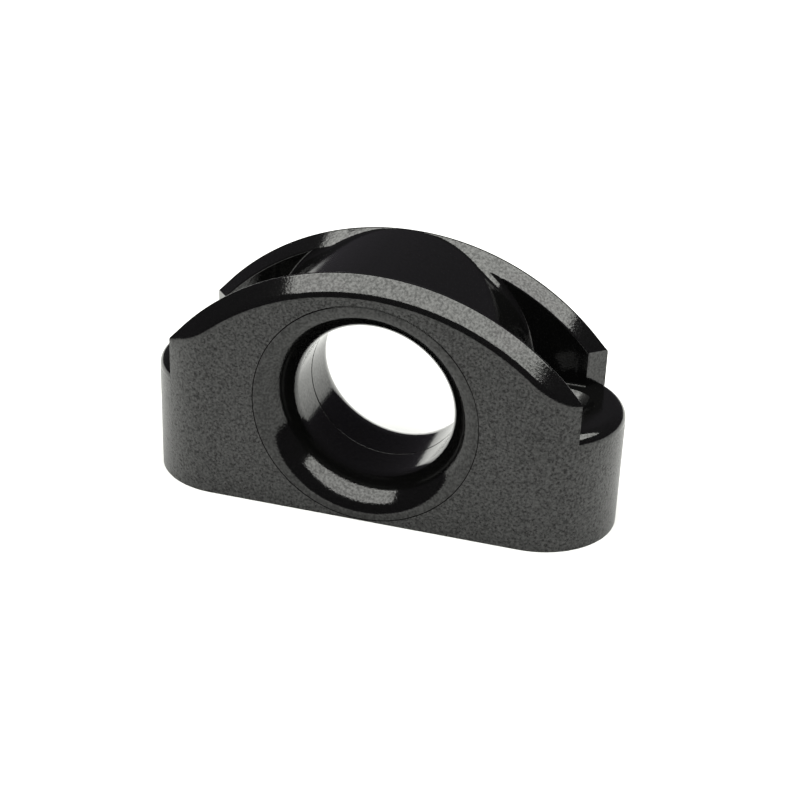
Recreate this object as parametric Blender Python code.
"""Two-screw bullseye fairlead: a moulded body with two flanged half liners in its bore.

A line runs through the bore, along Y. Two screws go down through the pockets at the
ends. Lengths are metres, +Z is up, and the origin is the middle of the flat base.
"""
from math import acos, asin, atan2, copysign, cos, pi, radians, sin, sqrt, tan

import bmesh
import bpy
from mathutils import Vector

MM = 0.001

# Body outline
LENGTH = 52.0 * MM              # over the full-round ends
WIDTH = 17.3 * MM
END_RADIUS = WIDTH / 2
END_CENTRE_X = LENGTH / 2 - END_RADIUS
LUG_INSET = 0.02 * MM           # the lug block lies this far inside the walls' faces

# Screw lugs
SEAT_HEIGHT = 13.5 * MM
SEAT_EDGE_RADIUS = 1.3 * MM
SCREW_SPACING = 38.0 * MM
SCREW_HOLE_RADIUS = 2.25 * MM
COUNTERSINK_RADIUS = 3.6 * MM

# Arched walls: a section turned about an axis along Y. Each rises from its outer face over a
# bevel to a ridge and falls over a flatter slope to its inner face.
ARCH_CENTRE_Z = -1.1 * MM
BEVEL_RADIUS = 27.12 * MM       # arch radius where the outer face meets the bevel
RIDGE_RADIUS = 28.96 * MM
RIDGE_DEPTH = 1.78 * MM         # from the outer face to the ridge
INNER_EDGE_RADIUS = 27.85 * MM
WALL_INNER_Y = 4.8 * MM
BEVEL_ROUND = 1.3 * MM
RIDGE_ROUND = 0.35 * MM
INNER_EDGE_ROUND = 0.3 * MM
WALL_FOOT_ROUND = 1.3 * MM      # beside the bridge
SEAT_FOOT_SHARE = 0.25          # of that rounding beside a seat
FOOT_GROWTH = 5.0 * MM          # rise of the floor over which the rounding grows
WALL_END_X = 22.5 * MM          # at the outer face
WALL_END_SLANT = 0.8            # nearer the middle for each unit inward from there
SLANT_START_X = 19.5 * MM

# Bridge over the bore, concentric with it
BORE_CENTRE_Z = 12.56 * MM
BRIDGE_RADIUS = 15.2 * MM
BRIDGE_FOOT_ROUND = 1.0 * MM
POCKET_SINK = 0.1 * MM          # the pocket floor under the lug block's top

# Liners
BORE_RADIUS = 8.75 * MM
FLANGE_RADIUS = 12.15 * MM
FLANGE_THICKNESS = 1.0 * MM
# The bell's section, from the bore outward: each arc's radius and the slopes it runs between
BELL_ARCS = ((4.5 * MM, 0.0, radians(25)), (6.0 * MM, radians(25), radians(50)),
             (2.4 * MM, radians(50), radians(90)))
SLEEVE_THICKNESS = 1.2 * MM
SLEEVE_CONE_START = 4.4 * MM
JOINT_GAP = 0.3 * MM

# Facets
END_STEPS = 10                  # in a quarter circle of the outline
ROUND_STEPS = 4
BRIDGE_STEPS = 12
SEAT_STEPS = 4
LATHE_STEPS = 64
BELL_STEPS = 4                  # in each arc of the bell


def clear_scene():
    for item in list(bpy.data.objects):
        bpy.data.objects.remove(item, do_unlink=True)


def plastic(name, color, roughness):
    material = bpy.data.materials.new(name)
    material.use_nodes = True
    shader = material.node_tree.nodes["Principled BSDF"]
    shader.inputs["Base Color"].default_value = (*color, 1.0)
    shader.inputs["Roughness"].default_value = roughness
    shader.inputs["Metallic"].default_value = 0.0
    return material


def new_object(name, mesh_builder, material=None):
    mesh = bpy.data.meshes.new(name)
    bmesh.ops.recalc_face_normals(mesh_builder, faces=mesh_builder.faces)
    mesh_builder.to_mesh(mesh)
    mesh_builder.free()
    item = bpy.data.objects.new(name, mesh)
    bpy.context.scene.collection.objects.link(item)
    if material:
        mesh.materials.append(material)
    return item


def hide_tool(item):
    item.hide_render = True
    item.display_type = 'WIRE'


def boolean(item, tool, operation):
    modifier = item.modifiers.new(f"{operation.lower()} {tool.name}", 'BOOLEAN')
    modifier.operation = operation
    modifier.solver = 'EXACT'
    modifier.object = tool
    hide_tool(tool)


def outline_y(x):
    """Half width of the body at x."""
    past = max(0.0, abs(x) - END_CENTRE_X)
    return sqrt(max(0.0, END_RADIUS ** 2 - past ** 2))


def floor_path():
    """(x, z) of the channel floor, from the middle of the bridge to the wall's end."""
    seat = SEAT_HEIGHT - POCKET_SINK
    # The foot is tangent to the bridge outside and to the seat below.
    foot_z = seat + BRIDGE_FOOT_ROUND
    foot_x = sqrt((BRIDGE_RADIUS + BRIDGE_FOOT_ROUND) ** 2 - (foot_z - BORE_CENTRE_Z) ** 2)
    touch = asin(foot_x / (BRIDGE_RADIUS + BRIDGE_FOOT_ROUND))
    path = []
    for step in range(BRIDGE_STEPS + 1):
        turn = touch * step / BRIDGE_STEPS
        path.append((BRIDGE_RADIUS * sin(turn), BORE_CENTRE_Z + BRIDGE_RADIUS * cos(turn)))
    for step in range(1, ROUND_STEPS + 1):
        turn = touch * (1 - step / ROUND_STEPS)
        path.append((foot_x - BRIDGE_FOOT_ROUND * sin(turn), foot_z - BRIDGE_FOOT_ROUND * cos(turn)))
    last_x = path[-1][0]
    steps = 1 + int((END_CENTRE_X - last_x) / MM)
    path += [(last_x + (END_CENTRE_X - last_x) * step / steps, seat) for step in range(1, steps + 1)]
    path += [(END_CENTRE_X + (WALL_END_X - END_CENTRE_X) * step / SEAT_STEPS, seat)
             for step in range(1, SEAT_STEPS + 1)]
    return path


def rounded(before, corner, after, radius):
    """Points of the arc that rounds a corner of a polyline, smaller where a side is short."""
    corner = Vector(corner)
    back = Vector(before) - corner
    ahead = Vector(after) - corner
    half_angle = back.angle(ahead) / 2
    radius = min(radius, 0.45 * min(back.length, ahead.length) * tan(half_angle))
    back.normalize()
    ahead.normalize()
    centre = corner + (back + ahead).normalized() * (radius / sin(half_angle))
    start = corner + back * (radius / tan(half_angle)) - centre
    end = corner + ahead * (radius / tan(half_angle)) - centre
    sweep = start.angle(end)
    points = []
    for step in range(ROUND_STEPS + 1):
        share = step / ROUND_STEPS
        arm = (start * sin(sweep * (1 - share)) + end * sin(sweep * share)) / sin(sweep)
        points.append(tuple(centre + arm))
    return points


def slanted(x, y):
    """x of a point of the walls, whose ends stop shorter inside than at the outer face."""
    share = max(0.0, abs(x) - SLANT_START_X) / (WALL_END_X - SLANT_START_X)
    inward = max(0.0, outline_y(x) - max(abs(y), WALL_INNER_Y))
    return x - copysign(share * WALL_END_SLANT * inward, x)


def wall_profile(outer_depth):
    """(depth, arch radius) over a wall's bevel and ridge, and round its inner edge.

    Depth is counted inward from the body's full width, and the outer face lies outer_depth in.
    """
    rise = (RIDGE_RADIUS - BEVEL_RADIUS) / RIDGE_DEPTH
    inner_depth = END_RADIUS - WALL_INNER_Y
    bevel = (outer_depth, BEVEL_RADIUS + rise * outer_depth)
    face = (outer_depth, bevel[1] - 5 * MM)
    ridge = (RIDGE_DEPTH, RIDGE_RADIUS)
    inner = (inner_depth, INNER_EDGE_RADIUS)
    inner_low = (inner_depth, INNER_EDGE_RADIUS - 5 * MM)
    over = rounded(face, bevel, ridge, BEVEL_ROUND) + rounded(bevel, ridge, inner, RIDGE_ROUND)
    return over, rounded(ridge, inner, inner_low, INNER_EDGE_ROUND)


def section(x, floor_z):
    """(y, z) across half of the body's top at x, from the outer face to the middle."""
    over, inner_edge = wall_profile(END_RADIUS - outline_y(x))

    def place(depth, radius):
        y = END_RADIUS - depth
        return y, ARCH_CENTRE_Z + sqrt(radius ** 2 - slanted(x, y) ** 2)

    points = [place(depth, radius) for depth, radius in over]
    edge = [place(depth, radius) for depth, radius in inner_edge]
    corner_y, corner_z = place(END_RADIUS - WALL_INNER_Y, INNER_EDGE_RADIUS)
    ridge_y, ridge_z = points[-1]
    # At a slanted end the inner edge can stand above the ridge.
    fall = atan2(max(ridge_z - corner_z, 0.01 * MM), ridge_y - corner_y)
    floor_z = min(floor_z, ridge_z)
    height = corner_z - floor_z
    cross_y = corner_y - height / tan(fall)
    rise = min(1.0, (floor_z - SEAT_HEIGHT + POCKET_SINK) / FOOT_GROWTH)
    radius = WALL_FOOT_ROUND * (SEAT_FOOT_SHARE + (1 - SEAT_FOOT_SHARE) * rise)
    if cross_y + radius * tan(fall / 2) * cos(fall) >= corner_y:
        # The bridge stands so high that its rounding runs straight into the slope.
        radius = min(radius, (ridge_y - cross_y) / (tan(fall / 2) * cos(fall)))
        bend = fall
        middle_y = cross_y - radius * tan(fall / 2)
        edge = [(middle_y + radius * sin(bend), floor_z + radius * (1 - cos(bend)))] * len(edge)
    else:
        bend = acos(1 - min(1.0, height / radius))
        middle_y = corner_y - radius * sin(bend)
        shrink = min(1.0, max(0.0, height - radius) / (corner_z - edge[-1][1]))
        edge = [(corner_y + shrink * (y - corner_y), corner_z + shrink * (z - corner_z))
                for y, z in edge]
    points += edge
    for step in range(ROUND_STEPS + 1):
        turn = bend * (1 - step / ROUND_STEPS)
        points.append((middle_y + radius * sin(turn), floor_z + radius * (1 - cos(turn))))
    points.append((0.0, floor_z))
    return points


def arched_block():
    """The walls, the bridge and all under them, lofted along X from section to section."""
    half_path = floor_path()
    stations = [(-x, z) for x, z in reversed(half_path[1:])] + half_path
    builder = bmesh.new()
    rows = []
    for x, floor_z in stations:
        half = section(x, floor_z)
        across = [(-y, z) for y, z in half] + [(y, z) for y, z in reversed(half[:-1])]
        outer_y = across[-1][0]
        across = [(-outer_y, 0.0)] + across
        across += [(outer_y, 0.0), (WALL_INNER_Y, 0.0), (-WALL_INNER_Y, 0.0)]
        rows.append([builder.verts.new((slanted(x, y), y, z)) for y, z in across])
    for row, next_row in zip(rows, rows[1:]):
        for index in range(len(row)):
            after = (index + 1) % len(row)
            builder.faces.new((row[index], row[after], next_row[after], next_row[index]))
    # Each end is three flat faces: the two walls' slanted ends and the channel's end between.
    foot = 1 + 3 * (ROUND_STEPS + 1)
    for row in (rows[0], rows[-1]):
        last = len(row) - 4
        far_foot = last + 1 - foot
        builder.faces.new(row[:foot + 1] + row[-1:])
        builder.faces.new(row[far_foot:last + 3])
        builder.faces.new(row[foot:far_foot + 1] + row[-2:])
    bmesh.ops.remove_doubles(builder, verts=builder.verts, dist=0.001 * MM)
    return builder


def lug_block():
    """Stadium-shaped block with a rounded top edge: it shows at the ends, past the walls."""
    radius = END_RADIUS - LUG_INSET
    builder = bmesh.new()
    ring = []
    for side in (1, -1):
        for step in range(2 * END_STEPS + 1):
            turn = -pi / 2 + pi * step / (2 * END_STEPS)
            x = END_CENTRE_X + radius * cos(turn)
            ring.append(builder.verts.new((side * x, side * radius * sin(turn), 0.0)))
    base = builder.faces.new(ring)
    raised = bmesh.ops.extrude_face_region(builder, geom=[base])["geom"]
    top = [part for part in raised if isinstance(part, bmesh.types.BMVert)]
    bmesh.ops.translate(builder, verts=top, vec=(0.0, 0.0, SEAT_HEIGHT))
    rim = [edge for edge in builder.edges if all(vert in top for vert in edge.verts)]
    bmesh.ops.bevel(builder, geom=rim, offset=SEAT_EDGE_RADIUS, segments=ROUND_STEPS,
                    profile=0.5, affect='EDGES')
    return builder


def lathe(profile, closed):
    """Turn (y, radius) points about the bore's axis. An open profile ends on the axis."""
    builder = bmesh.new()
    rings = []
    for y, radius in profile:
        rings.append([builder.verts.new((radius * cos(2 * pi * step / LATHE_STEPS), y,
                                         BORE_CENTRE_Z + radius * sin(2 * pi * step / LATHE_STEPS)))
                      for step in range(LATHE_STEPS)])
    pairs = list(zip(rings, rings[1:]))
    if closed:
        pairs.append((rings[-1], rings[0]))
    for ring, next_ring in pairs:
        for index in range(LATHE_STEPS):
            after = (index + 1) % LATHE_STEPS
            builder.faces.new((ring[index], ring[after], next_ring[after], next_ring[index]))
    if not closed:
        builder.faces.new(rings[0])
        builder.faces.new(rings[-1])
    return builder


def liner_socket():
    """The space that the body leaves for both liners, a joint gap larger than they are."""
    flange_y = WIDTH / 2 - FLANGE_THICKNESS - JOINT_GAP
    flange = FLANGE_RADIUS + JOINT_GAP
    sleeve = BORE_RADIUS + SLEEVE_THICKNESS + JOINT_GAP
    half = [(SLEEVE_CONE_START, sleeve), (flange_y, flange), (WIDTH / 2 + MM, flange)]
    return lathe([(-y, radius) for y, radius in reversed(half)] + half, closed=False)


def bell_curve():
    """(along, out) points of the bell, from where it leaves the bore to the flange's face."""
    points = [(0.0, 0.0)]
    for radius, start, end in BELL_ARCS:
        along, out = points[-1]
        for step in range(1, BELL_STEPS + 1):
            turn = start + (end - start) * step / BELL_STEPS
            points.append((along + radius * (sin(turn) - sin(start)),
                           out + radius * (cos(start) - cos(turn))))
    return points


def half_liner(side):
    """One bell-mouthed liner. side is -1 for the front and 1 for the rear."""
    bell = bell_curve()
    length, height = bell[-1]
    widening = (FLANGE_RADIUS - BORE_RADIUS) / height
    profile = [(JOINT_GAP / 2, BORE_RADIUS + SLEEVE_THICKNESS), (JOINT_GAP / 2, BORE_RADIUS)]
    profile += [(WIDTH / 2 - length + along, BORE_RADIUS + widening * out) for along, out in bell]
    profile += [(WIDTH / 2 - FLANGE_THICKNESS, FLANGE_RADIUS),
                (SLEEVE_CONE_START, BORE_RADIUS + SLEEVE_THICKNESS)]
    return lathe([(side * y, radius) for y, radius in profile], closed=True)


def screw_hole(name, x):
    """Cutter for one countersunk hole, from below the base to above the seat."""
    sink = COUNTERSINK_RADIUS - SCREW_HOLE_RADIUS
    levels = [(-MM, SCREW_HOLE_RADIUS), (SEAT_HEIGHT - sink, SCREW_HOLE_RADIUS),
              (SEAT_HEIGHT, COUNTERSINK_RADIUS), (SEAT_HEIGHT + MM, COUNTERSINK_RADIUS)]
    builder = bmesh.new()
    steps = LATHE_STEPS // 2
    rings = [[builder.verts.new((x + radius * cos(2 * pi * step / steps),
                                 radius * sin(2 * pi * step / steps), z)) for step in range(steps)]
             for z, radius in levels]
    for ring, next_ring in zip(rings, rings[1:]):
        for index in range(steps):
            after = (index + 1) % steps
            builder.faces.new((ring[index], ring[after], next_ring[after], next_ring[index]))
    builder.faces.new(rings[0])
    builder.faces.new(rings[-1])
    return new_object(name, builder)


def make_body():
    black = plastic("black moulded nylon", (0.035, 0.036, 0.038), 0.42)
    body = new_object("fairlead_body", arched_block(), black)
    boolean(body, new_object("lug_tool", lug_block()), 'UNION')
    boolean(body, new_object("socket_tool", liner_socket()), 'DIFFERENCE')
    boolean(body, screw_hole("left_hole_tool", -SCREW_SPACING / 2), 'DIFFERENCE')
    boolean(body, screw_hole("right_hole_tool", SCREW_SPACING / 2), 'DIFFERENCE')
    return body


def make_liners():
    gloss = plastic("black polished acetal", (0.018, 0.018, 0.020), 0.18)
    return [new_object("front_liner", half_liner(-1), gloss), new_object("rear_liner", half_liner(1), gloss)]


def shade(item):
    item.data.shade_smooth()
    item.data.set_sharp_from_angle(angle=pi / 6)


def main():
    clear_scene()
    for item in [make_body(), *make_liners()]:
        shade(item)


main()
